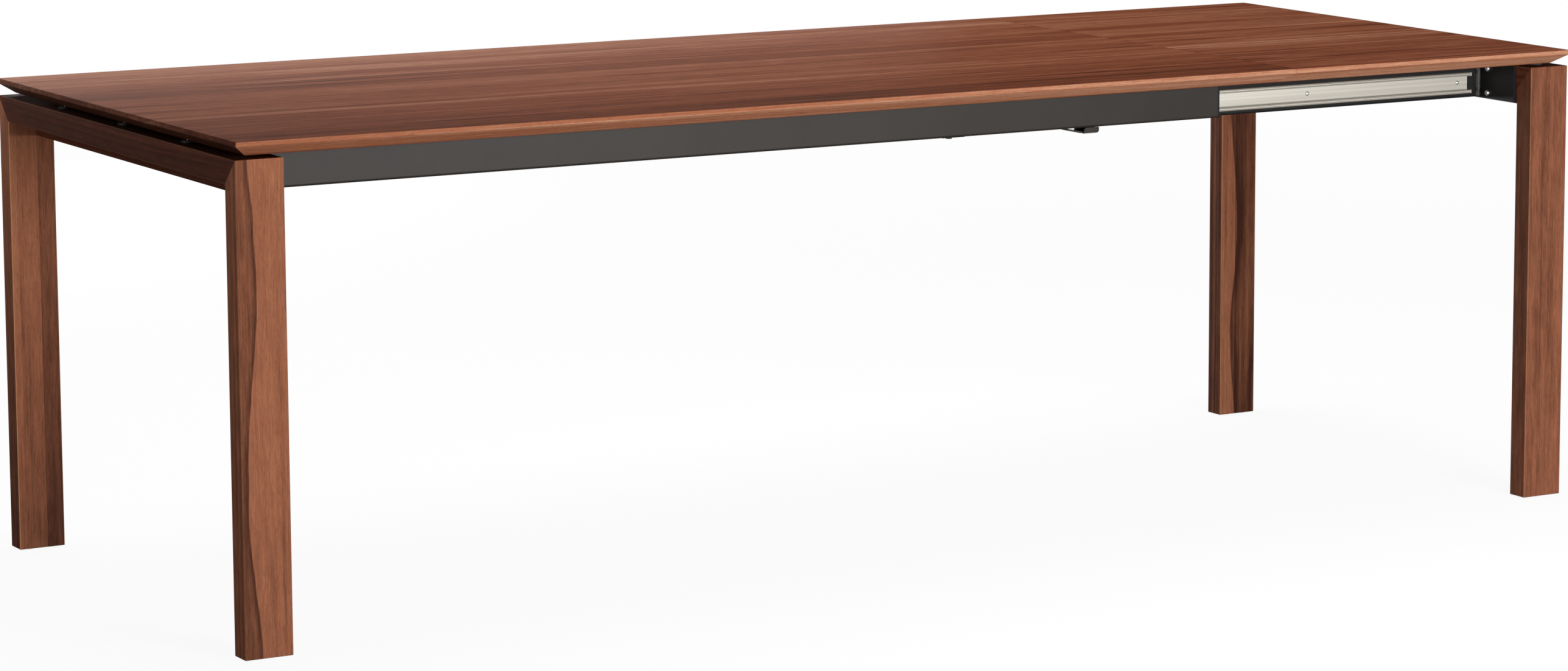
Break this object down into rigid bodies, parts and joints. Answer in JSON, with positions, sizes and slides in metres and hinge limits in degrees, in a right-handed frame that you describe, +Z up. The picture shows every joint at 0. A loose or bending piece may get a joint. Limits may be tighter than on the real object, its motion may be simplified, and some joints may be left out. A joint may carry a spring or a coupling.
{
  "type": "extending dining table",
  "caption": "Walnut dining table with mitred leg frames; one leg frame draws out on steel beams with rollers in C rails to carry a leaf.",
  "frame": {"origin": "on the floor under the middle of the extended table", "axes": "+X along the table towards the leg frame that draws out, +Y to the back, +Z up"},
  "size_m": [2.345, 0.935, 0.74],
  "materials": {
    "walnut_top": "oiled walnut, satin",
    "walnut_frame": "oiled walnut, satin",
    "beech": "planed",
    "brass": "turned",
    "felt": "pressed felt",
    "black_steel": "powder-coated, satin black",
    "zinc": "zinc plated",
    "aluminium": "extruded, natural anodised",
    "nylon": "moulded",
    "black_plastic": "moulded"
  },
  "bodies": {
    "table": {"main_top": "walnut_top", "dowel_bushes": "brass", "left_leg_front": "walnut_frame", "left_leg_back": "walnut_frame", "left_crossbar": "walnut_frame", "left_inner_rail": "walnut_frame", "left_splines": "beech", "left_glides": "nylon", "left_cross_plate": "black_steel", "left_plate_screws": "zinc", "left_top_spacers": "black_plastic", "left_top_screws": "zinc", "fixed_beam_front": "black_steel", "fixed_beam_back": "black_steel", "fixed_beam_caps": "black_plastic", "cross_ties": "black_steel", "tie_screws": "zinc", "roller_bolts": "zinc", "lever_ears_front": "black_steel", "lever_ears_back": "black_steel"},
    "sliding_frame": {"right_leg_front": "walnut_frame", "right_leg_back": "walnut_frame", "right_crossbar": "walnut_frame", "right_inner_rail": "walnut_frame", "right_splines": "beech", "right_glides": "nylon", "right_cross_plate": "black_steel", "right_plate_screws": "zinc", "slide_beam_front": "black_steel", "slide_beam_back": "black_steel", "slide_beam_plugs": "black_plastic", "slide_rail_front": "aluminium", "slide_rail_back": "aluminium", "rail_screws": "zinc", "rail_stops": "black_steel", "rear_tie": "black_steel", "rear_tie_bolts": "black_steel"},
    "leaf": {"leaf_top": "walnut_top", "leaf_dowels": "beech", "leaf_felt_pads": "felt"},
    "lever_front": {"clamp_lever_front": "black_steel"},
    "lever_back": {"clamp_lever_back": "black_steel"},
    "wheel_front_rear": {"roller_front_rear": "nylon"},
    "wheel_front_fore": {"roller_front_fore": "nylon"},
    "wheel_back_rear": {"roller_back_rear": "nylon"},
    "wheel_back_fore": {"roller_back_fore": "nylon"}
  },
  "joints": [
    {"name": "frame_slide", "type": "slide", "parent": "table", "child": "sliding_frame", "axis": [1, 0, 0], "range_m": [-0.545, 0]},
    {"name": "leaf_draw", "type": "slide", "parent": "table", "child": "leaf", "axis": [1, 0, 0], "range_m": [0, 0.06]},
    {"name": "lever_front_turn", "type": "hinge", "parent": "table", "child": "lever_front", "pos_m": [0.3125, -0.36, 0.6535], "axis": [0, -1, 0], "range_deg": [0, 90]},
    {"name": "lever_back_turn", "type": "hinge", "parent": "table", "child": "lever_back", "pos_m": [0.3125, 0.36, 0.6535], "axis": [0, -1, 0], "range_deg": [0, 90]},
    {"name": "roller_front_rear_spin", "type": "hinge", "parent": "table", "child": "wheel_front_rear", "pos_m": [0.2615, -0.336, 0.6798], "axis": [0, 1, 0], "range_deg": [0, 2232]},
    {"name": "roller_front_fore_spin", "type": "hinge", "parent": "table", "child": "wheel_front_fore", "pos_m": [0.5015, -0.336, 0.6798], "axis": [0, 1, 0], "range_deg": [0, 2232]},
    {"name": "roller_back_rear_spin", "type": "hinge", "parent": "table", "child": "wheel_back_rear", "pos_m": [0.2615, 0.336, 0.6798], "axis": [0, 1, 0], "range_deg": [0, 2232]},
    {"name": "roller_back_fore_spin", "type": "hinge", "parent": "table", "child": "wheel_back_fore", "pos_m": [0.5015, 0.336, 0.6798], "axis": [0, 1, 0], "range_deg": [0, 2232]}
  ],
  "couplings": [
    {"joint": "roller_front_rear_spin", "follows": "frame_slide", "rad_per_m": -71.429},
    {"joint": "roller_front_fore_spin", "follows": "frame_slide", "rad_per_m": -71.429},
    {"joint": "roller_back_rear_spin", "follows": "frame_slide", "rad_per_m": -71.429},
    {"joint": "roller_back_fore_spin", "follows": "frame_slide", "rad_per_m": -71.429}
  ]
}
